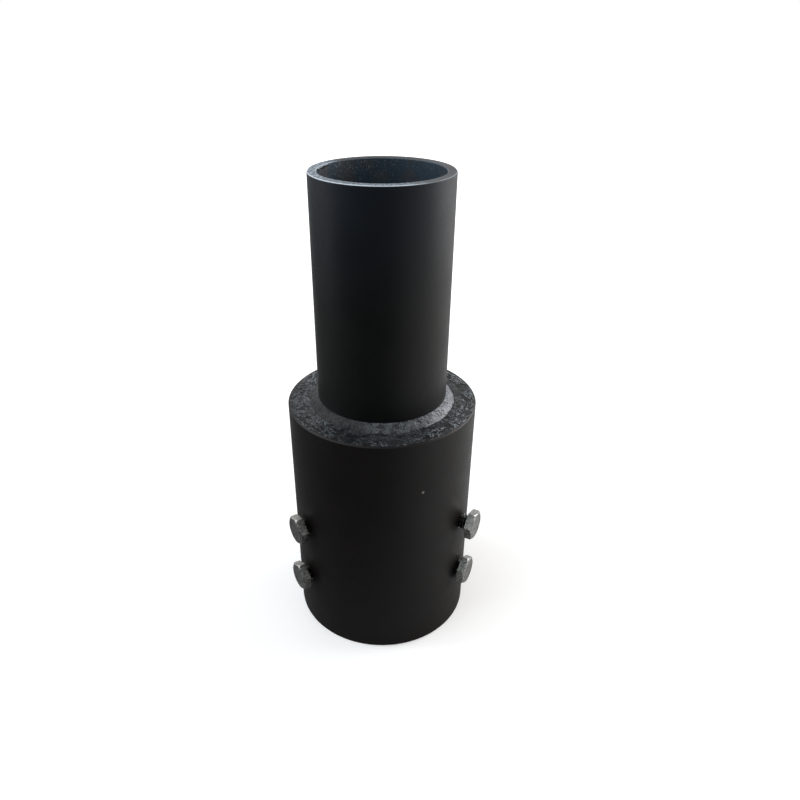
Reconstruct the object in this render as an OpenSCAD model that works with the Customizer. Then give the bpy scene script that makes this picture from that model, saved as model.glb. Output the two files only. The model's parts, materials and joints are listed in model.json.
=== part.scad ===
// Post-top reducer sleeve: a wide socket slips over a post and is clamped by six set bolts,
// and a narrower welded tenon above it carries the fitting.
// Millimetres, +Z up, origin at the centre of the sleeve's open bottom end.

/* [Sleeve] */
// Outside diameter of the sleeve tube
sleeve_od = 88.9; // [76:0.1:130]
// Wall of the sleeve tube
sleeve_wall = 6.3; // [4:0.1:8]
// Length of the sleeve tube
sleeve_len = 121.5; // [96:0.5:240]

/* [Tenon] */
// Outside diameter of the tenon tube
tenon_od = 60.3; // [40:0.1:73]
// Wall of the tenon tube
tenon_wall = 4; // [2.5:0.1:6]
// Length of tenon that stands above the sleeve
tenon_len = 103.5; // [50:0.5:200]

/* [Ring] */
// Thickness of the ring that closes the sleeve round the tenon
ring_thick = 10; // [6:0.5:16]
// Depth of the ring's seat into the sleeve wall, measured radially
ring_seat = 1; // [0.5:0.1:2]
// Depth of the neck turned on the tenon's foot, where it goes through weld and ring
neck_depth = 0.5; // [0.4:0.1:1.5]

/* [Welds] */
// Leg of the fillet weld along the ring
fillet_leg = 3.85; // [2:0.05:6]
// Height of the fillet weld up the tenon
fillet_height = 3.4; // [2:0.05:6]
// Depth of the groove weld between ring and sleeve
groove_depth = 4.5; // [2:0.1:5.5]
// Rise of a weld's crown above a straight face
weld_crown = 0.35; // [0.1:0.05:0.8]

/* [Set bolts] */
// Thread diameter
bolt_d = 8; // [5:1:12]
// Length under the head
bolt_len = 8; // [6:0.5:20]
// Head size across the flats
head_flats = 13; // [8:0.5:19]
// Head thickness
head_thick = 3.9; // [3:0.1:8]
// Hole heights of the upper row, as drilled: back, left, right
upper_heights = [62, 61.5, 62.5]; // [each 50:0.1:80]
// Hole heights of the lower row, as drilled: back, left, right
lower_heights = [31.8, 31.4, 32.1]; // [each 15:0.1:42]
// Gap between head and sleeve in the upper row: back, left, right
upper_gaps = [3.4, 2.1, 3.8]; // [each 0.3:0.1:6]
// Gap between head and sleeve in the lower row: back, left, right
lower_gaps = [2.9, 2.2, 1.8]; // [each 0.3:0.1:6]
// Turn of the upper heads about their own axes: back, left, right
upper_turns = [12, -44, 44]; // [each -180:1:180]
// Turn of the lower heads about their own axes: back, left, right
lower_turns = [50, 24, 30]; // [each -180:1:180]

/* [Fits] */
// Radial clearance of a set bolt in its hole
bolt_gap = 0.05; // [0.02:0.01:0.1]
// Radial clearance between ring and seat, and between ring and tenon
ring_gap = 0.1; // [0.05:0.01:0.3]
// Radial clearance beside a weld
weld_gap = 0.05; // [0.02:0.01:0.1]

/* [Edges] */
// Chamfer on the tube ends
end_chamfer = 0.5; // [0.2:0.1:1.2]
// Chamfer on the bolt tips
tip_chamfer = 0.9; // [0.3:0.1:1.5]

/* [Hidden] */
$fn = 96;

BACK = 0;
LEFT = 1;
RIGHT = 2;
bolt_angles = [90, 210, 330];
bolt_rows = [[upper_heights, upper_gaps, upper_turns], [lower_heights, lower_gaps, lower_turns]];
UPPER = 0;
LOWER = 1;

sleeve_r = sleeve_od / 2;
bore_r = sleeve_r - sleeve_wall;
seat_r = bore_r + ring_seat;
ring_bottom = sleeve_len - ring_thick;

tenon_r = tenon_od / 2;
tenon_bore_r = tenon_r - tenon_wall;
neck_r = tenon_r - neck_depth;
weld_top = sleeve_len + fillet_height;
tenon_top = sleeve_len + tenon_len;

// The welds share the land between tenon and sleeve bore, and shrink where it is narrow.
land = bore_r - tenon_r;
leg = min(fillet_leg, 0.6 * land);
groove_root = 0.5;
groove_in_r = bore_r - min(0.35, 0.1 * land);
groove_out_r = sleeve_r - end_chamfer - 0.25;

head_corner_r = head_flats / 2 / cos(30);
head_face_r = 0.95 * head_flats / 2;

eps = 1;
steel_black = [0.10, 0.10, 0.105];
weld_black = [0.16, 0.165, 0.165];
zinc_grey = [0.50, 0.52, 0.52];

// Points from a to b along a shallow arch that rises by rise at its middle.
function arch(a, b, rise, steps = 8) =
    let (run = b - a, side = [-run[1], run[0]] / norm(run))
    [for (i = [0 : steps]) let (t = i / steps) a + t * run + 4 * t * (1 - t) * rise * side];

// Section of a tube from z = low to z = high. The top has chamfers inside and out, of high_c,
// and the bottom has one outside, of low_c.
function tube_section(inner, outer, low, high, low_c, high_c) =
    concat([[inner, low]],
           low_c > 0 ? [[outer - low_c, low], [outer, low + low_c]] : [[outer, low]],
           [[outer, high - high_c], [outer - high_c, high], [inner + high_c, high], [inner, high - high_c]]);

// The V between ring and sleeve, widened on both sides by gap.
module weld_groove(gap) {
    rotate_extrude()
        polygon([[seat_r - groove_root - gap, sleeve_len - groove_depth],
                 [seat_r + groove_root + gap, sleeve_len - groove_depth],
                 [groove_out_r + gap, sleeve_len],
                 [groove_out_r + gap, sleeve_len + eps],
                 [groove_in_r - gap, sleeve_len + eps],
                 [groove_in_r - gap, sleeve_len]]);
}

// Moves a child drawn along +X from the sleeve's axis to the height and angle of one bolt.
module at_bolt(row, side) {
    translate([0, 0, bolt_rows[row][0][side]])
        rotate([0, 0, bolt_angles[side]])
            children();
}

// One set bolt, lying along +X, with the underside of its head at x = 0.
module set_bolt_shape() {
    rotate([0, 90, 0]) {
        intersection() {
            cylinder(h = head_thick, r = head_corner_r, $fn = 6);
            rotate_extrude()
                polygon([[0, 0],
                         [head_corner_r + eps, 0],
                         [head_corner_r + eps, head_thick - (head_corner_r + eps - head_face_r) * tan(30)],
                         [head_face_r, head_thick],
                         [0, head_thick]]);
        }
        rotate_extrude()
            polygon([[0, eps],
                     [bolt_d / 2, eps],
                     [bolt_d / 2, tip_chamfer - bolt_len],
                     [bolt_d / 2 - tip_chamfer, -bolt_len],
                     [0, -bolt_len]]);
    }
}

module set_bolt(row, side) {
    color(zinc_grey)
        at_bolt(row, side)
            translate([sleeve_r + bolt_rows[row][1][side], 0, 0])
                rotate([bolt_rows[row][2][side] + 90, 0, 0])
                    set_bolt_shape();
}

module sleeve_tube() {
    color(steel_black)
        difference() {
            rotate_extrude()
                polygon(tube_section(bore_r, sleeve_r, 0, sleeve_len, end_chamfer, end_chamfer));
            translate([0, 0, ring_bottom])
                cylinder(h = ring_thick + eps, r = seat_r);
            weld_groove(weld_gap);
            for (row = [UPPER, LOWER], side = [BACK, LEFT, RIGHT])
                at_bolt(row, side)
                    translate([bore_r - eps, 0, 0])
                        rotate([0, 90, 0])
                            cylinder(h = sleeve_wall + 2 * eps, r = bolt_d / 2 + bolt_gap);
        }
}

module adapter_ring() {
    color(steel_black)
        difference() {
            translate([0, 0, ring_bottom])
                cylinder(h = ring_thick, r = seat_r - ring_gap);
            translate([0, 0, ring_bottom - eps])
                cylinder(h = ring_thick + 2 * eps, r = neck_r + ring_gap);
            weld_groove(weld_gap);
        }
}

module tenon_tube() {
    color(steel_black)
        difference() {
            union() {
                rotate_extrude()
                    polygon(tube_section(tenon_bore_r, tenon_r, weld_top, tenon_top, 0, end_chamfer));
                translate([0, 0, ring_bottom])
                    cylinder(h = weld_top - ring_bottom + eps, r = neck_r);
            }
            translate([0, 0, ring_bottom - eps])
                cylinder(h = ring_thick + tenon_len, r = tenon_bore_r);
        }
}

module sleeve_ring_weld() {
    color(weld_black)
        rotate_extrude()
            polygon(concat(
                [[seat_r - groove_root, sleeve_len - groove_depth],
                 [seat_r + groove_root, sleeve_len - groove_depth]],
                arch([groove_out_r, sleeve_len], [groove_in_r, sleeve_len], -weld_crown)));
}

module tenon_fillet_weld() {
    color(weld_black)
        rotate_extrude()
            polygon(concat(
                [[neck_r + weld_gap, weld_top], [neck_r + weld_gap, sleeve_len]],
                arch([tenon_r + leg, sleeve_len], [tenon_r, weld_top], -weld_crown)));
}

module upper_back_bolt() { set_bolt(UPPER, BACK); }
module upper_left_bolt() { set_bolt(UPPER, LEFT); }
module upper_right_bolt() { set_bolt(UPPER, RIGHT); }
module lower_back_bolt() { set_bolt(LOWER, BACK); }
module lower_left_bolt() { set_bolt(LOWER, LEFT); }
module lower_right_bolt() { set_bolt(LOWER, RIGHT); }

sleeve_tube();
adapter_ring();
tenon_tube();
sleeve_ring_weld();
tenon_fillet_weld();
upper_back_bolt();
upper_left_bolt();
upper_right_bolt();
lower_back_bolt();
lower_left_bolt();
lower_right_bolt();
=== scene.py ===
# %% [markdown]
# # A post-top reducer sleeve, step by step
# This is a short steel part from the end of a fence or lamp post. A wide tube, the sleeve, slips over
# the post and is clamped by six hexagon set bolts. A ring closes the sleeve's top, and a narrower
# tube, the tenon, stands in the ring and carries the fitting. Two welds hold the three together,
# and the whole is painted satin black before the zinc-plated bolts go in.
#
# The construction model arrives finished, at its real size, with one object for each piece. The work
# here is the finish: paint, weld metal and zinc, and the small shapes that a drawing leaves out.

import json
import math

import bmesh
import bpy
from mathutils import Matrix, Vector, noise


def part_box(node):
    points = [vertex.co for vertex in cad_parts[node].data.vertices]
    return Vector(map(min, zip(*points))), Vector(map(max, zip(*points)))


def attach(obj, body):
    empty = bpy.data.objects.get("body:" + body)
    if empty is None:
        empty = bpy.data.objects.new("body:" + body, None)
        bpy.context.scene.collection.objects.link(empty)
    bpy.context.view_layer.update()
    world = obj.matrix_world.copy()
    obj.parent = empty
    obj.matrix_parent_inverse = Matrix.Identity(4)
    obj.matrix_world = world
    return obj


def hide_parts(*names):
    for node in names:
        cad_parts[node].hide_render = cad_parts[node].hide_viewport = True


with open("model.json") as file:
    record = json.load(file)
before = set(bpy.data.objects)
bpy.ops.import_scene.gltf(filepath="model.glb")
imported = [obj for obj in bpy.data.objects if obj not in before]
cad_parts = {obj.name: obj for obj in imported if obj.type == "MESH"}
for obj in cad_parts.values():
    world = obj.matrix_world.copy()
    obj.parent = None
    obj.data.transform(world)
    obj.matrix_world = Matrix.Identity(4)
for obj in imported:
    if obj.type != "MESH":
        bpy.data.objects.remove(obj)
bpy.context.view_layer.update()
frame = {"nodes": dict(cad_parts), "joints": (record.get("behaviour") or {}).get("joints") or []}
MM = 0.001
print("pieces in the frame:", sorted(frame["nodes"]))

# %% [markdown]
# ## The camera
# The camera looks down on the part from a little above its top, which shows the open tenon, the top
# of the sleeve and two pairs of bolts. It stands close, a third of a metre from the part's middle, so
# the sleeve narrows towards its foot. A small lens shift moves the part within the view without
# tilting the camera any further.

# %% Place the camera
CAMERA_TURN = math.radians(-2.5)
CAMERA_PITCH = math.radians(59.01)
CAMERA_ROLL = math.radians(0.1)
CAMERA_PLACE = Vector((0.00096, -0.28294, 0.27821))

camera_data = bpy.data.cameras.new("camera")
camera_data.sensor_width = 36
camera_data.lens = 30.49
camera_data.shift_x = 0.0199
camera_data.shift_y = 0.0254
camera = bpy.data.objects.new("camera", camera_data)
bpy.context.scene.collection.objects.link(camera)
turned = Matrix.Rotation(CAMERA_TURN, 4, "Z")
camera.matrix_world = (
    turned @ Matrix.Translation(CAMERA_PLACE)
    @ Matrix.Rotation(CAMERA_PITCH, 4, "X") @ Matrix.Rotation(CAMERA_ROLL, 4, "Z")
)
bpy.context.scene.camera = camera
print("camera at", [round(c, 3) for c in camera.matrix_world.translation])

# %% [markdown]
# ## Measures from the frame
# A new piece has to fit where the old one was, so the radii and heights come from the boxes of the
# construction pieces. The faces that a box can't show are a few steps in from those: the tenon's wall
# is 4 mm, its foot is turned down a little where the weld sits, and the groove weld starts at the
# sleeve's bore.

# %% Read radii and heights
def outer_radius(node):
    low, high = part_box(node)
    return (high.x - low.x) / 2


SLEEVE_R = outer_radius("sleeve_tube")
TENON_R = outer_radius("tenon_tube")
FILLET_R = outer_radius("tenon_fillet_weld")
GROOVE_R = outer_radius("sleeve_ring_weld")
SLEEVE_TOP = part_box("sleeve_tube")[1].z
FILLET_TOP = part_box("tenon_fillet_weld")[1].z
TENON_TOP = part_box("tenon_tube")[1].z
BORE_R = TENON_R - 4.0 * MM
WELD_INNER_R = TENON_R - 0.4 * MM
GROOVE_IN_R = SLEEVE_R - 6.65 * MM
print("sleeve radius", round(SLEEVE_R / MM, 2), "tenon radius", round(TENON_R / MM, 2))

# %% [markdown]
# ## Small helpers
# A bmesh is Blender's editable mesh. Each new piece starts in one, is shaped by operators, and
# becomes an object at the origin with its place in its vertices. A mesh copied from the construction
# model brings shading normals that no longer fit once it is edited, so they are dropped.
#
# Materials are node trees. Building them node by node takes many lines, so three small classes make the
# few nodes used here, each in one call: the first holds the tree and its sums, the second adds places
# on the part, and the third adds patterns and relief. Every pattern reads Object coordinates, which
# stay with the piece.

# %% Turn a bmesh into a piece
def make_piece(bm, name, body, materials, smooth_angle=35):
    mesh = bpy.data.meshes.new(name)
    bm.to_mesh(mesh)
    bm.free()
    if "custom_normal" in mesh.attributes:
        mesh.attributes.remove(mesh.attributes["custom_normal"])
    mesh.shade_smooth()
    mesh.set_sharp_from_angle(angle=math.radians(smooth_angle))
    for material in materials:
        mesh.materials.append(material)
    piece = bpy.data.objects.new(name, mesh)
    bpy.context.scene.collection.objects.link(piece)
    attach(piece, body)
    print(name, "has", len(mesh.polygons), "faces")
    return piece


# %% Build node trees
class Tree:
    """A material's node tree, with short calls for the nodes used here."""

    def __init__(self, name):
        self.material = bpy.data.materials.new(name)
        self.material.use_nodes = True
        self.nodes = self.material.node_tree.nodes
        self.links = self.material.node_tree.links
        self.shader = self.nodes["Principled BSDF"]
        self.place = self.nodes.new("ShaderNodeTexCoord").outputs["Object"]

    def feed(self, socket, value):
        if isinstance(value, bpy.types.NodeSocket):
            self.links.new(value, socket)
        else:
            socket.default_value = value

    def set(self, **sockets):
        """Sets the shader's sockets; an underscore in a name stands for a space."""
        for name, value in sockets.items():
            self.feed(self.shader.inputs[name.replace("_", " ")], value)

    def span(self, value, low, high, to_low=0.0, to_high=1.0, ramp="SMOOTHSTEP"):
        """Maps the range low..high onto to_low..to_high, and holds the value outside it."""
        node = self.nodes.new("ShaderNodeMapRange")
        node.interpolation_type = ramp
        self.feed(node.inputs["Value"], value)
        node.inputs["From Min"].default_value = low
        node.inputs["From Max"].default_value = high
        node.inputs["To Min"].default_value = to_low
        node.inputs["To Max"].default_value = to_high
        return node.outputs["Result"]

    def math(self, operation, first, second=0.0):
        node = self.nodes.new("ShaderNodeMath")
        node.operation = operation
        self.feed(node.inputs[0], first)
        self.feed(node.inputs[1], second)
        return node.outputs[0]

    def mix(self, share, first, second):
        node = self.nodes.new("ShaderNodeMix")
        node.data_type = "RGBA"
        self.feed(node.inputs["Factor"], share)
        self.feed(node.inputs["A"], first)
        self.feed(node.inputs["B"], second)
        return node.outputs["Result"]


# %% Add places on the part
class PlaceTree(Tree):
    """A node tree that also knows where a point lies on the part."""

    def along(self, direction):
        """How far each point lies along a direction, in metres."""
        node = self.nodes.new("ShaderNodeVectorMath")
        node.operation = "DOT_PRODUCT"
        self.links.new(self.place, node.inputs[0])
        node.inputs[1].default_value = direction
        return node.outputs["Value"]

    def radius(self):
        """How far each point lies from the part's own axis."""
        flat = self.nodes.new("ShaderNodeVectorMath")
        flat.operation = "MULTIPLY"
        self.links.new(self.place, flat.inputs[0])
        flat.inputs[1].default_value = (1, 1, 0)
        size = self.nodes.new("ShaderNodeVectorMath")
        size.operation = "LENGTH"
        self.links.new(flat.outputs["Vector"], size.inputs[0])
        return size.outputs["Value"]

    def around(self):
        """Coordinates that follow the circle: the way round, the radius and the height, in metres."""
        turn = self.math("ARCTAN2", self.along((1, 0, 0)), self.along((0, -1, 0)))
        node = self.nodes.new("ShaderNodeCombineXYZ")
        self.links.new(self.math("MULTIPLY", turn, SLEEVE_R), node.inputs["X"])
        self.links.new(self.radius(), node.inputs["Y"])
        self.links.new(self.along((0, 0, 1)), node.inputs["Z"])
        return node.outputs["Vector"]

    def towards(self, degrees):
        """1 on the side that faces this way round the part, and -1 on the far side."""
        turn = math.radians(degrees)
        return self.math("DIVIDE", self.along((math.cos(turn), math.sin(turn), 0)), self.radius())

    def away_from(self, point):
        """How far each point lies from one given point."""
        node = self.nodes.new("ShaderNodeVectorMath")
        node.operation = "DISTANCE"
        self.links.new(self.place, node.inputs[0])
        node.inputs[1].default_value = point
        return node.outputs["Value"]


# %% Add patterns and relief
class FinishTree(PlaceTree):
    """The whole helper: places, patterns of a given size in metres, and relief of a given depth."""

    def noise(self, size, detail=2.0, roughness=0.5, place=None, stretch=None):
        place = self.place if place is None else place
        if stretch:
            mapping = self.nodes.new("ShaderNodeMapping")
            mapping.inputs["Scale"].default_value = stretch
            self.links.new(place, mapping.inputs["Vector"])
            place = mapping.outputs["Vector"]
        node = self.nodes.new("ShaderNodeTexNoise")
        node.inputs["Scale"].default_value = 1 / size
        node.inputs["Detail"].default_value = detail
        node.inputs["Roughness"].default_value = roughness
        self.links.new(place, node.inputs["Vector"])
        return node.outputs["Fac"]

    def cells(self, size):
        node = self.nodes.new("ShaderNodeTexVoronoi")
        node.inputs["Scale"].default_value = 1 / size
        self.links.new(self.place, node.inputs["Vector"])
        return node.outputs["Distance"]

    def bump(self, height, depth, strength=1.0, under=None):
        node = self.nodes.new("ShaderNodeBump")
        node.inputs["Strength"].default_value = strength
        node.inputs["Distance"].default_value = depth
        self.links.new(height, node.inputs["Height"])
        if under is not None:
            self.links.new(under, node.inputs["Normal"])
        return node.outputs["Normal"]


# %% Name near-neutral colours
def grey(level, warm=0.0):
    """A near-neutral colour: warm above 0 leans to brown, below 0 to blue."""
    return (level * (1 + warm), level, level * (1 - warm), 1.0)


print("grey(0.5, 0.1) is", [round(part, 3) for part in grey(0.5, 0.1)])

# %% [markdown]
# ## Black paint
# Sprayed satin enamel is never one flat black. It has an orange-peel surface about a millimetre
# across, a fine grit of dry overspray, and slow changes of gloss. The colour stays close to black, so
# the shape is told by what the surface reflects, and most of the work goes into roughness and bump.
# The specular level is below the usual 0.5, because the dry grit takes some of the shine away.

# %% Mix the black paint
def black_paint(name, colour):
    tree = FinishTree(name)
    blotch = tree.noise(16 * MM, detail=3)
    grit = tree.noise(0.45 * MM, detail=2, roughness=0.6)
    peel = tree.noise(1.5 * MM, detail=2)
    dust = tree.span(tree.cells(2.6 * MM), 0.05, 0.02)
    dark = [0.7 * part for part in colour] + [1]
    light = [1.3 * part for part in colour] + [1]
    mixed = tree.mix(tree.span(tree.math("ADD", blotch, grit), 0.75, 1.25), dark, light)
    tree.colour = tree.mix(tree.math("MULTIPLY", dust, 0.10), mixed, grey(0.05))
    rough = tree.span(blotch, 0.3, 0.7, 0.44, 0.52)
    rough = tree.math("ADD", rough, tree.span(grit, 0.3, 0.7, -0.04, 0.06))
    relief = tree.bump(peel, 0.05 * MM, 0.50)
    relief = tree.bump(grit, 0.04 * MM, 0.60, under=relief)
    tree.set(Base_Color=tree.colour, Roughness=rough, Normal=relief)
    tree.shader.inputs["Specular IOR Level"].default_value = 0.33
    return tree


# The sleeve's black is warmer and lighter than the tenon's: painted warm light, for the warm lamp at its
# right.
sleeve_paint = black_paint("black_paint", (0.0046, 0.0029, 0.0025))
print("sleeve paint has", len(sleeve_paint.nodes), "nodes")

# %% Add the one speck of bare steel on the sleeve
SPECK = Vector((SLEEVE_R * math.cos(math.radians(-68)), SLEEVE_R * math.sin(math.radians(-68)), 95 * MM))
spot = sleeve_paint.span(sleeve_paint.away_from(SPECK), 0.8 * MM, 0.45 * MM)
sleeve_paint.set(Base_Color=sleeve_paint.mix(spot, sleeve_paint.colour, grey(0.22, 0.12)))
print("speck at, in mm:", [round(part / MM, 1) for part in SPECK])

# %% [markdown]
# ## The tenon's sawn end
# The tenon wears the same paint, with a painted cool light that makes it lighter and bluer towards the
# top. Its sawn end has been handled: the paint is rubbed thin over the steel round the left and the front,
# and along both edges of the rim, where a painted highlight runs as well. Inside, the mill surface of
# the tube shows through as a bluish grey with bright flecks near the end.
#
# An image painted over an unwrapped tube could hold all this. Here each zone is picked by its height,
# its radius or its direction from the axis instead, so the finish follows the shape by itself.

# %% Colour the bore
MILL_BLUE = (0.025, 0.046, 0.068, 1)
MILL_GREY = (0.043, 0.049, 0.058, 1)
FLECK = (0.21, 0.24, 0.27, 1)


def mill_surface(tree, height):
    """Bluish grey in patches, with bright flecks near the end, most of them where the saw tore it."""
    mill = tree.noise(0.7 * MM, detail=4, roughness=0.8)
    patch = tree.noise(9 * MM, detail=2)
    colour = tree.mix(tree.span(patch, 0.45, 0.6), MILL_BLUE, MILL_GREY)
    near_end = tree.span(height, TENON_TOP - 18 * MM, TENON_TOP - 1 * MM)
    torn_side = tree.span(tree.towards(150), 0.1, 0.9, 0.35, 1.0)
    zone = tree.math("MULTIPLY", near_end, torn_side)
    flecks = tree.math("MULTIPLY", tree.span(mill, 0.55, 0.63), zone)
    return tree.mix(flecks, colour, FLECK)


# %% Colour the sawn rim
THIN_PAINT = (0.022, 0.037, 0.052, 1)
BRIGHT_STEEL = (0.28, 0.33, 0.40, 1)
HANDLED_STEEL = (0.16, 0.195, 0.24, 1)
BACK_BLACK = (0.002, 0.003, 0.005, 1)
RIGHT_BLACK = (0.019, 0.024, 0.028, 1)
WORN_EDGE = (0.18, 0.215, 0.25, 1)
POLISHED_EDGE_HIGHLIGHT = (0.76, 0.84, 0.93, 1)


def sawn_rim(tree, radius):
    """Rubbed to the steel round the left and the front, black elsewhere, and polished at both edges, with
    a painted highlight there too.
    """
    rubbed = tree.span(tree.towards(-142), 0.0, 0.40)
    scratch = tree.noise(1.3 * MM, detail=4, roughness=0.75)
    front = tree.span(tree.towards(-95), 0.5, 0.9)
    steel = tree.mix(front, BRIGHT_STEEL, HANDLED_STEEL)
    bare = tree.mix(tree.span(scratch, 0.46, 0.53), THIN_PAINT, steel)
    right = tree.span(tree.towards(-25), -0.1, 0.6)
    colour = tree.mix(rubbed, tree.mix(right, BACK_BLACK, RIGHT_BLACK), bare)
    # The bright edges are partly polished steel and partly a painted highlight, most of it on the outer
    # edge.
    outer_edge = tree.span(radius, TENON_R - 0.50 * MM, TENON_R - 0.30 * MM)
    inner_edge = tree.span(radius, BORE_R + 0.50 * MM, BORE_R + 0.30 * MM)
    outer_edge = tree.math("MULTIPLY", outer_edge, 0.9)
    inner_edge = tree.math("MULTIPLY", inner_edge, 0.5)
    edges = tree.math("ADD", outer_edge, inner_edge)
    return tree.mix(edges, colour, tree.mix(rubbed, WORN_EDGE, POLISHED_EDGE_HIGHLIGHT))


# %% Mix the tenon's paint
# A lighter, bluer black: painted cool light on the top of the tenon.
PAINTED_COOL_LIGHT = (0.0038, 0.0075, 0.0135, 1)


def tenon_paint():
    tree = black_paint("tenon_paint", (0.0019, 0.0022, 0.0022))
    height, radius = tree.along((0, 0, 1)), tree.radius()
    # Painted light: the paint turns lighter and bluer towards the top, as under a cool light from above.
    painted_cool_light = tree.span(height, TENON_TOP - 60 * MM, TENON_TOP)
    colour = tree.mix(painted_cool_light, tree.colour, PAINTED_COOL_LIGHT)
    in_bore = tree.span(radius, BORE_R + 0.20 * MM, BORE_R + 0.05 * MM)
    colour = tree.mix(in_bore, colour, mill_surface(tree, height))
    on_rim = tree.span(height, TENON_TOP - 0.45 * MM, TENON_TOP - 0.25 * MM)
    tree.set(Base_Color=tree.mix(on_rim, colour, sawn_rim(tree, radius)))
    return tree


tenon_finish = tenon_paint()
print("tenon paint has", len(tenon_finish.nodes), "nodes")

# %% [markdown]
# ## Weld metal under paint
# The top of the sleeve was welded and ground, and the fillet round the tenon was left as laid. The
# thin paint over both shows every ripple and spatter as small bright flecks on dark grey. Plain noise
# would look like stone, so it is measured round the circle rather than across it, and its middle
# values become thin strokes that run with the ring, as the marks of a grinder do.

# %% Draw the grinder's marks
def grinder_marks(tree, drag, speckle, strokes):
    """Thin strokes at the middle values of the drag noise, broken up, and most at the two sides."""
    cloud = tree.noise(5 * MM, detail=3)
    middle = tree.math("ABSOLUTE", tree.math("SUBTRACT", drag, 0.5))
    ridge = tree.span(middle, 0.055, 0.015)
    broken = tree.math("MULTIPLY", tree.span(speckle, 0.46, 0.51), tree.span(cloud, 0.34, 0.50))
    sides = tree.span(tree.math("ABSOLUTE", tree.towards(0)), 0.3, 0.8, 0.25, 1.0)
    marks = tree.math("MULTIPLY", ridge, broken)
    return tree.math("MULTIPLY", marks, tree.math("MULTIPLY", sides, strokes))


# %% Mix the painted weld
def painted_weld(name, level, stroke, depth, strokes=1.0, gloss=0.3):
    """Dark paint over weld metal: a fine grain, and thin bright strokes drawn out along the ring."""
    tree = FinishTree(name)
    drag = tree.noise(2.4 * MM, detail=3, roughness=0.6, place=tree.around(), stretch=(0.5, 1, 1))
    speckle = tree.noise(0.7 * MM, detail=3, roughness=0.75)
    grain = tree.math("ADD", tree.math("MULTIPLY", drag, 0.5), tree.math("MULTIPLY", speckle, 0.5))
    low_spots, high_spots = grey(level * 0.3, -0.06), grey(level * 1.4, -0.09)
    colour = tree.mix(tree.span(grain, 0.43, 0.57), low_spots, high_spots)
    marks = grinder_marks(tree, drag, speckle, strokes)
    tree.colour = tree.mix(marks, colour, grey(stroke, -0.10))
    rough = tree.span(grain, 0.35, 0.65, 0.50, 0.28)
    relief = tree.bump(grain, depth, 1.0)
    tree.set(Base_Color=tree.colour, Roughness=rough, Normal=relief)
    tree.shader.inputs["Specular IOR Level"].default_value = gloss
    return tree


ground_weld = painted_weld("ground_weld", 0.015, 0.37, 0.45 * MM, gloss=0.20)
ring_paint = painted_weld("ring_paint", 0.026, 0.26, 0.18 * MM, strokes=0.6, gloss=0.18)
bead_weld = painted_weld("bead_weld", 0.080, 0.33, 0.40 * MM, strokes=0.6, gloss=0.22)
print("weld finishes:", ground_weld.material.name, bead_weld.material.name, ring_paint.material.name)

# %% Brush the bead bright on the right with a painted highlight, and paint shade on its left
sparkle = bead_weld.noise(1.3 * MM, detail=4, roughness=0.75)
# The bead's right side is partly brushed bright metal and partly a painted highlight, the lamp's glint on
# its face.
right_side = bead_weld.span(bead_weld.towards(-12), 0.66, 0.92)
brushed_and_painted_glint = bead_weld.math("MULTIPLY", right_side, bead_weld.span(sparkle, 0.44, 0.52))
brushed_and_painted_glint = bead_weld.math("MULTIPLY", brushed_and_painted_glint, 0.90)
# Painted shade: the bead is darker on its left side, away from the lamp.
left_side = bead_weld.span(bead_weld.towards(-165), 0.25, 0.70, 0.0, 0.92)
painted_left_shade = bead_weld.mix(left_side, bead_weld.colour, grey(0.006, -0.1))
bead_weld.set(Base_Color=bead_weld.mix(brushed_and_painted_glint, painted_left_shade, (0.30, 0.315, 0.36, 1)))
print("bead finish has", len(bead_weld.nodes), "nodes")

# %% Paint shade on the ground weld's left side, and in the bead's undercut
# Painted shade: the ground weld is darker on its left side, away from the lamp.
ground_left_shade = ground_weld.span(ground_weld.towards(-160), 0.40, 0.95, 0.0, 0.60)
ground_weld.set(Base_Color=ground_weld.mix(ground_left_shade, ground_weld.colour, grey(0.004, -0.1)))
UNDERCUT_R = FILLET_R + 0.2 * MM
# Painted shade: a dark line at the bead's toe on the right side, where the undercut lies in shade.
toe = ring_paint.math("ABSOLUTE", ring_paint.math("SUBTRACT", ring_paint.radius(), UNDERCUT_R))
groove = ring_paint.span(toe, 0.45 * MM, 0.2 * MM)
undercut_painted_shade = ring_paint.math("MULTIPLY", groove, ring_paint.span(ring_paint.towards(0), 0.4, 0.8))
ring_paint.set(Base_Color=ring_paint.mix(undercut_painted_shade, ring_paint.colour, grey(0.002)))
print("undercut at a radius of", round(UNDERCUT_R / MM, 2), "mm")

# %% [markdown]
# ## Zinc-plated steel
# The bolts are forged, with a thin zinc coat. It is a metal with a dull, slightly mottled shine, bright
# where a spanner has polished the edges of the head, with a painted highlight along those edges too,
# and nearly black in the thread, a painted shade for the shadow under the head. One recipe with three
# sets of values gives all of them, so they still look like the same steel.

# %% Mix the zinc
def zinc_steel(name, dark, light, smooth, rough):
    tree = FinishTree(name)
    mottle = tree.noise(1.4 * MM, detail=3, roughness=0.6)
    grain = tree.noise(0.4 * MM, detail=2, roughness=0.6)
    colour = tree.mix(tree.span(mottle, 0.38, 0.62), dark, light)
    gloss = tree.span(mottle, 0.3, 0.7, smooth, rough)
    gloss = tree.math("ADD", gloss, tree.span(grain, 0.3, 0.7, -0.04, 0.04))
    relief = tree.bump(grain, 0.04 * MM, 0.5)
    tree.set(Base_Color=colour, Roughness=gloss, Normal=relief)
    tree.shader.inputs["Metallic"].default_value = 1.0
    return tree


zinc = zinc_steel("zinc_steel", (0.17, 0.17, 0.16, 1), (0.37, 0.37, 0.355, 1), 0.26, 0.40)
# Bright edge zinc: polished, with a painted highlight.
zinc_edge_highlight = zinc_steel("zinc_edge_highlight", (0.58, 0.59, 0.58, 1), (0.85, 0.86, 0.85, 1), 0.18, 0.28)
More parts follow.
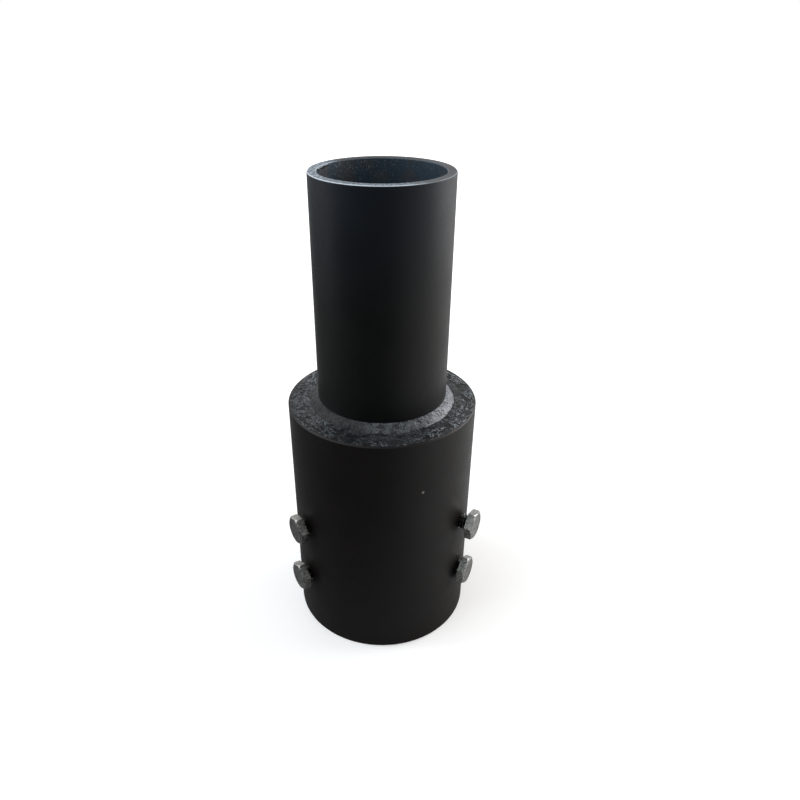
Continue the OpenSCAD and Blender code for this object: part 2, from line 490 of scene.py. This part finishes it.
# Painted shade: the thread is nearly black, for the shadow under the head.
shaded_thread_steel = zinc_steel("shaded_thread_steel", (0.020, 0.022, 0.021, 1), (0.20, 0.21, 0.20, 1), 0.14, 0.28)
print("zinc finishes:", zinc.material.name, zinc_edge_highlight.material.name, shaded_thread_steel.material.name)

# %% [markdown]
# ## Paint the tubes
# The sleeve, the ring and the tenon keep the shapes they came with. A tube's wall comes as one sheet
# rolled round until its two edges meet, and the shading breaks a little at that line. So each tube is
# copied with its edges merged, and its shading normals are turned straight away from the axis, which
# makes a gloss run round it unbroken. The ring is nearly hidden and only changes its material.

# %% Copy the tubes with a seamless wall
def seamless_tube(node, name, paint):
    """Copies a tube, and turns the normals within 5 degrees of the radius straight along it."""
    bm = bmesh.new()
    bm.from_mesh(frame["nodes"][node].data)
    bmesh.ops.remove_doubles(bm, verts=bm.verts, dist=0.002 * MM)
    tube = make_piece(bm, name, "sleeve_body", [paint])
    nearly_radial = math.cos(math.radians(5))
    normals = []
    for loop, corner in zip(tube.data.loops, tube.data.corner_normals):
        normal = corner.vector.copy()
        outward = tube.data.vertices[loop.vertex_index].co.to_2d().normalized()
        level = normal.to_2d()
        side = level.dot(outward)
        if abs(side) > nearly_radial * level.length and level.length > 0.1:
            outward *= math.copysign(level.length, side)
            normal = Vector((outward.x, outward.y, normal.z))
        normals.append(normal)
    tube.data.normals_split_custom_set(normals)
    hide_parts(node)


seamless_tube("sleeve_tube", "painted_sleeve", sleeve_paint.material)
seamless_tube("tenon_tube", "painted_tenon", tenon_finish.material)

# %% Paint the ring
ring = frame["nodes"]["adapter_ring"]
ring.data.materials.clear()
ring.data.materials.append(ring_paint.material)
print(ring.name, "wears", ring_paint.material.name)

# %% [markdown]
# ## The fillet weld
# A fillet bead is laid in short overlapping puddles, so it has crescent ripples along it and an edge
# that wanders. It is spun from its profile, which gives a clean closed ring, and then each vertex is
# moved a little by a rule: crescents from a sine of its angle, and for the wander a smooth noise that
# depends only on the vertex's place, so that it is the same at every run.

# %% Spin a ring from a profile
def spin_ring(bm, profile, steps):
    """Spins a closed profile of (radius, height) points into a ring round the Z axis."""
    corners = [bm.verts.new((radius, 0, height)) for radius, height in profile]
    sides = [bm.edges.new((a, b)) for a, b in zip(corners, corners[1:] + corners[:1])]
    bmesh.ops.spin(
        bm, geom=corners + sides, cent=(0, 0, 0), axis=(0, 0, 1),
        angle=math.tau, steps=steps, use_merge=True, use_duplicate=False,
    )
    bmesh.ops.remove_doubles(bm, verts=bm.verts, dist=1e-6)
    bmesh.ops.recalc_face_normals(bm, faces=bm.faces)


def arch(start, end, rise, count):
    """Points from start to end along a shallow arch."""
    run = end - start
    side = Vector((run.y, -run.x)).normalized()
    return [start + run * t + side * rise * 4 * t * (1 - t) for t in (i / count for i in range(count + 1))]


# %% Lay the bead
RIPPLES = 60
BEAD_STEPS = 1080
bead = bmesh.new()
hidden_side = [(WELD_INNER_R, FILLET_TOP), (WELD_INNER_R, SLEEVE_TOP)]
face = arch(Vector((FILLET_R, SLEEVE_TOP)), Vector((TENON_R, FILLET_TOP)), 0.30 * MM, 18)
spin_ring(bead, hidden_side + [tuple(point) for point in face], BEAD_STEPS)
for vert in bead.verts:
    radius = vert.co.to_2d().length
    if radius < TENON_R - 0.1 * MM:  # the hidden side stays as spun
        continue
    across = (radius - TENON_R) / (FILLET_R - TENON_R)
    swell = 4 * across * (1 - across)
    turn = math.atan2(vert.co.y, vert.co.x)
    crescent = math.sin(turn * RIPPLES + 2.2 * swell + 4.0 * noise.noise(vert.co / (6 * MM)))
    lumps = noise.noise(vert.co / (2.2 * MM)) + 0.6 * noise.noise(vert.co / (0.9 * MM))
    out = Vector((vert.co.x, vert.co.y, radius)).normalized()
    rise = (0.045 * crescent + 0.17 * lumps) * MM * (0.25 + 0.75 * swell)
    vert.co += out * rise
    if across > 0.9:
        sideways = Vector((vert.co.x, vert.co.y, 0)).normalized()
        vert.co += sideways * 0.3 * MM * noise.noise(vert.co / (3 * MM))
    vert.co.z = max(vert.co.z, SLEEVE_TOP)
fillet = make_piece(bead, "fillet_weld_bead", "sleeve_body", [bead_weld.material], 60)
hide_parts("tenon_fillet_weld")

# %% [markdown]
# ## The burr
# A saw leaves a burr where it breaks through, and here a few flakes of it still hang on the inner edge
# of the tenon's end. A bump pattern can't stand out from an edge, so the flakes are real: each is a
# small sphere drawn out along the edge and crumpled by noise.

# %% Hang flakes on the inner edge
FLAKES = 14
FIRST_FLAKE = 150  # degrees round the rim
burr = bmesh.new()
for number in range(FLAKES):
    turn = math.radians(FIRST_FLAKE + 1.5 * number + 1.2 * noise.noise(Vector((number * 1.7, 0, 0))))
    size = (0.62 + 0.45 * noise.noise(Vector((0, number * 2.3, 0)))) * MM
    flake = bmesh.ops.create_icosphere(burr, subdivisions=3, radius=1.0)["verts"]
    reach = BORE_R - 0.35 * MM
    place = Matrix.Translation((reach * math.cos(turn), reach * math.sin(turn), TENON_TOP - 1.1 * size))
    shape = Matrix.Rotation(turn, 4, "Z") @ Matrix.Diagonal((0.7 * size, 1.5 * size, 0.8 * size, 1))
    bmesh.ops.transform(burr, matrix=place @ shape, verts=flake)
    for face in {face for vert in flake for face in vert.link_faces}:
        face.material_index = number % 2
for vert in burr.verts:
    vert.co += vert.normal * 0.18 * MM * noise.noise(vert.co / (0.5 * MM))
    vert.co.z = min(vert.co.z, TENON_TOP)
flake_paints = [sleeve_paint.material, tenon_finish.material]
make_piece(burr, "rim_burr", "sleeve_body", flake_paints, 50)

# %% [markdown]
# ## The ground weld
# The groove weld between ring and sleeve was ground nearly flat, and what is left is a broad band of
# pits and drag marks. It is spun as well, with a fine top so that the pits are real shape.

# %% Spin and pit the ground weld
BAND_STEPS = 1200
groove_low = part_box("sleeve_ring_weld")[0].z
root_r = GROOVE_IN_R + 1.35 * MM
root = [(root_r - 0.5 * MM, groove_low), (root_r + 0.5 * MM, groove_low)]
crown = arch(Vector((GROOVE_R, SLEEVE_TOP)), Vector((GROOVE_IN_R, SLEEVE_TOP)), 0.12 * MM, 24)
band = bmesh.new()
spin_ring(band, root + [tuple(point) for point in crown], BAND_STEPS)
for vert in band.verts:
    if vert.co.z < SLEEVE_TOP - 1 * MM:  # the root stays as spun
        continue
    radius = vert.co.to_2d().length
    across = (radius - GROOVE_IN_R) / (GROOVE_R - GROOVE_IN_R)
    edge = min(1.0, 8 * across, 8 * (1 - across))
    pits = noise.noise(vert.co / (1.3 * MM)) + 0.6 * noise.noise(vert.co / (0.6 * MM))
    vert.co.z += edge * 0.16 * MM * pits
ground = make_piece(band, "ground_weld_band", "sleeve_body", [ground_weld.material], 80)
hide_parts("sleeve_ring_weld")

# %% [markdown]
# ## The set bolts
# Each bolt is an M8 with a chamfered hexagon head. The construction model gives the true head, so a
# merged copy of it is kept above the shank. Its edges get a small round in the polished finish, which
# also paints a highlight along them, while its large faces stay flat, because a soft shading over them
# would make the head look melted. The shank is a real screw thread: one V profile spun with a little
# travel at each step.

# %% Measure a bolt from its construction piece
PITCH = 1.25 * MM
SHANK_R = 4.0 * MM
AXES = {joint["child"]: Vector(joint["axis"]).normalized() for joint in frame["joints"]}


def bolt_measures(name):
    """A bolt's axis and height, and where its tip and the underside of its head lie along the axis."""
    axis = AXES[name]
    low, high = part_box(name)
    middle = (low + high) / 2
    corners = [vert.co for vert in frame["nodes"][name].data.vertices]
    along = [corner.dot(axis) for corner in corners]
    centre = Vector((0, 0, middle.z))
    wide = [
        reach for corner, reach in zip(corners, along)
        if (corner - centre - reach * axis).length > SHANK_R + 1 * MM
    ]
    return axis, middle.z, min(along), min(wide)


for name in AXES:
    axis, height, tip, underside = bolt_measures(name)
    print(name, "stands", round((underside - SLEEVE_R) / MM, 2), "mm off the sleeve")

# %% Keep and round the head
def add_head(bm, name, axis, underside):
    """A copy of the bolt cut off below the head, with rounded edges and a shallow dish in its face."""
    bm.from_mesh(frame["nodes"][name].data)
    bmesh.ops.remove_doubles(bm, verts=bm.verts, dist=0.002 * MM)
    parts = bm.verts[:] + bm.edges[:] + bm.faces[:]
    cut = bmesh.ops.bisect_plane(
        bm, geom=parts, dist=0.001 * MM, plane_co=axis * (underside + 0.01 * MM),
        plane_no=-axis, clear_outer=True,
    )
    rim = [e for e in cut["geom_cut"] if isinstance(e, bmesh.types.BMEdge)]
    bmesh.ops.holes_fill(bm, edges=rim, sides=0)
    bmesh.ops.dissolve_limit(
        bm, angle_limit=math.radians(2), verts=bm.verts, edges=bm.edges, use_dissolve_boundaries=False
    )
    sharp = [e for e in bm.edges if len(e.link_faces) == 2 and e.calc_face_angle() > math.radians(22)]
    rounded = bmesh.ops.bevel(
        bm, geom=sharp, offset=0.28 * MM, offset_type="OFFSET", segments=2, profile=0.5,
        affect="EDGES", clamp_overlap=True, material=-1,
    )
    # The rounded edge faces take the bright edge finish: partly polished zinc, partly a painted highlight.
    for polished in rounded["faces"]:
        polished.material_index = 1
    outer = max(bm.faces, key=lambda f: f.calc_center_median().dot(axis) + f.calc_area())
    bmesh.ops.inset_region(bm, faces=[outer], thickness=1.6 * MM, depth=0)
    bmesh.ops.inset_region(bm, faces=[outer], thickness=0.25 * MM, depth=-0.12 * MM)


# %% Spin the thread
def add_thread(bm, standing, tip, underside):
    """A V thread along the shank, from the tip to just inside the head."""
    steps = 48
    low, high = tip, underside + 0.3 * MM
    turns = math.ceil((high - low) / PITCH) + 2
    depth = 0.61 * PITCH
    # One V, as shares of the pitch and depths below the crest.
    shape = [(0.0, depth), (0.44, 0.0), (0.56, 0.0), (1.0, depth)]
    points = [Vector((SHANK_R - inward, 0, low - PITCH + share * PITCH)) for share, inward in shape]
    made = bmesh.new()
    corners = [made.verts.new(point) for point in points]
    sides = [made.edges.new(pair) for pair in zip(corners, corners[1:])]
    bmesh.ops.spin(
        made, geom=corners + sides, cent=(0, 0, 0), axis=(0, 0, 1),
        dvec=(0, 0, PITCH / steps), angle=math.tau * turns, steps=steps * turns, use_merge=False,
    )
    bmesh.ops.remove_doubles(made, verts=made.verts, dist=0.004 * MM)
    for level, side in ((low, -1), (high, 1)):
        cut = bmesh.ops.bisect_plane(
            made, geom=made.verts[:] + made.edges[:] + made.faces[:], dist=0.0005 * MM,
            plane_co=(0, 0, level), plane_no=(0, 0, side), clear_outer=True,
        )
        rim = [e for e in cut["geom_cut"] if isinstance(e, bmesh.types.BMEdge)]
        bmesh.ops.contextual_create(made, geom=rim)
    bmesh.ops.recalc_face_normals(made, faces=made.faces)
    bmesh.ops.transform(made, matrix=standing, verts=made.verts)
    # The thread takes the painted-shade finish.
    for flank in made.faces:
        flank.material_index = 2
    scratch = bpy.data.meshes.new("thread")
    made.to_mesh(scratch)
    made.free()
    bm.from_mesh(scratch)
    bpy.data.meshes.remove(scratch)


# %% Make the six bolts
def make_bolt(name):
    axis, height, tip, underside = bolt_measures(name)
    bm = bmesh.new()
    add_head(bm, name, axis, underside)
    standing = Matrix.Translation((0, 0, height)) @ axis.to_track_quat("Z", "Y").to_matrix().to_4x4()
    add_thread(bm, standing, tip, underside)
    finishes = [zinc.material, zinc_edge_highlight.material, shaded_thread_steel.material]
    bolt = make_piece(bm, name.replace("bolt", "screw_bolt"), name, finishes, 30)
    for polygon in bolt.data.polygons:
        if polygon.area > (1.0 * MM) ** 2:
            polygon.use_smooth = False
    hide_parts(name)


for name in AXES:
    make_bolt(name)

# %% [markdown]
# ## The studio
# A black part on a white ground is seen by what it reflects. Its upright walls mirror the floor, since
# the view looks down on them, and its level faces mirror the wall behind. In a studio, black card on
# the floor in front keeps the near side of such a part dark. Here the floor carries painted shade
# instead: the camera sees it white, and the part sees it dark at the front left, where the floor lies in
# shade, and pale at the right. The world does the same, white for the camera and fading towards the
# front for reflections. One large soft lamp at the right gives the slow gradient round the tubes, and
# two weaker ones fill the left and the top.

# %% Lay the floor
FLOOR_RADIUS = 1.6
WHITE = (1, 1, 1, 1)
TO_THE_PALE_SIDE = (0.87, 0.5, 0)
PAINTED_FLOOR_SHADE, PALE_PAPER = 0.07, 0.60


def floor_paint():
    """Paper that is white to the camera, and darker to the part at the front left, a painted shade."""
    tree = PlaceTree("pale_floor")
    seen = tree.nodes.new("ShaderNodeLightPath").outputs["Is Camera Ray"]
    # Painted shade: the floor is dark at the front left for everything but the camera, where it lies in
    # shade.
    shade = tree.span(tree.along(TO_THE_PALE_SIDE), -0.15, 0.14, PAINTED_FLOOR_SHADE, PALE_PAPER)
    tree.set(Base_Color=tree.mix(seen, shade, grey(0.86)), Roughness=0.9)
    lift = tree.span(tree.radius(), 0.15, 1.2, 0.28, 1.0, ramp="LINEAR")
    tree.set(Emission_Color=WHITE, Emission_Strength=tree.math("MULTIPLY", seen, lift))
    return tree.material


disc = bmesh.new()
bmesh.ops.create_circle(disc, cap_ends=True, segments=96, radius=FLOOR_RADIUS)
floor_mesh = bpy.data.meshes.new("floor")
disc.to_mesh(floor_mesh)
disc.free()
floor_mesh.materials.append(floor_paint())
floor = bpy.data.objects.new("floor", floor_mesh)
bpy.context.scene.collection.objects.link(floor)
print("floor radius in m:", FLOOR_RADIUS)

# %% Hang the lamps
def soft_lamp(name, place, aim, size, power, colour=(1, 1, 1)):
    data = bpy.data.lights.new(name, "AREA")
    data.shape = "RECTANGLE"
    data.size, data.size_y = size
    data.energy = power
    data.color = colour
    lamp = bpy.data.objects.new(name, data)
    bpy.context.scene.collection.objects.link(lamp)
    lamp.location = place
    lamp.rotation_mode = "QUATERNION"
    lamp.rotation_quaternion = (Vector(aim) - Vector(place)).to_track_quat("-Z", "Y")
    print(name, "at", place)


soft_lamp("right_softbox", (1.05, 0.35, 0.48), (0, 0, 0.12), (0.9, 0.9), 11, (1.0, 0.97, 0.94))
soft_lamp("left_strip", (-1.1, 0.10, 0.5), (0, 0, 0.12), (0.35, 1.0), 4, (0.92, 0.96, 1.0))
soft_lamp("top_softbox", (-0.50, -0.10, 1.10), (0, 0, 0.12), (0.8, 0.8), 5, (0.90, 0.97, 1.0))

# %% Surround the part
TO_THE_BACK_WALL = (0.35, 0.94, 0)
DIM_FRONT = 0.15
AMBIENT = 0.55
world = bpy.data.worlds.new("studio")
bpy.context.scene.world = world
world.use_nodes = True
background = world.node_tree.nodes["Background"]
nodes, links = world.node_tree.nodes, world.node_tree.links
rays = nodes.new("ShaderNodeLightPath").outputs
facing = nodes.new("ShaderNodeVectorMath")
facing.operation = "DOT_PRODUCT"
links.new(nodes.new("ShaderNodeTexCoord").outputs["Generated"], facing.inputs[0])
facing.inputs[1].default_value = TO_THE_BACK_WALL
backdrop = nodes.new("ShaderNodeMapRange")
backdrop.interpolation_type = "SMOOTHSTEP"
backdrop.inputs["From Min"].default_value = -0.6
backdrop.inputs["From Max"].default_value = 0.5
backdrop.inputs["To Min"].default_value = DIM_FRONT
backdrop.inputs["To Max"].default_value = 1.0
links.new(facing.outputs["Value"], backdrop.inputs["Value"])


def choose(share, first, second):
    """A mix of two strengths, each a plain number or a socket."""
    node = nodes.new("ShaderNodeMix")
    links.new(share, node.inputs["Factor"])
    for socket, value in ((node.inputs["A"], first), (node.inputs["B"], second)):
        if isinstance(value, float):
            socket.default_value = value
        else:
            links.new(value, socket)
    return node.outputs["Result"]


shine = choose(rays["Is Glossy Ray"], AMBIENT, backdrop.outputs["Result"])
seen = nodes.new("ShaderNodeMath")
seen.operation = "MAXIMUM"
links.new(rays["Is Camera Ray"], seen.inputs[0])
links.new(rays["Is Transmission Ray"], seen.inputs[1])
links.new(choose(seen.outputs[0], shine, 1.0), background.inputs["Strength"])
background.inputs["Color"].default_value = WHITE
bpy.context.scene.view_settings.view_transform = "Standard"
print("the world is white to the camera and fades towards the front in reflections")
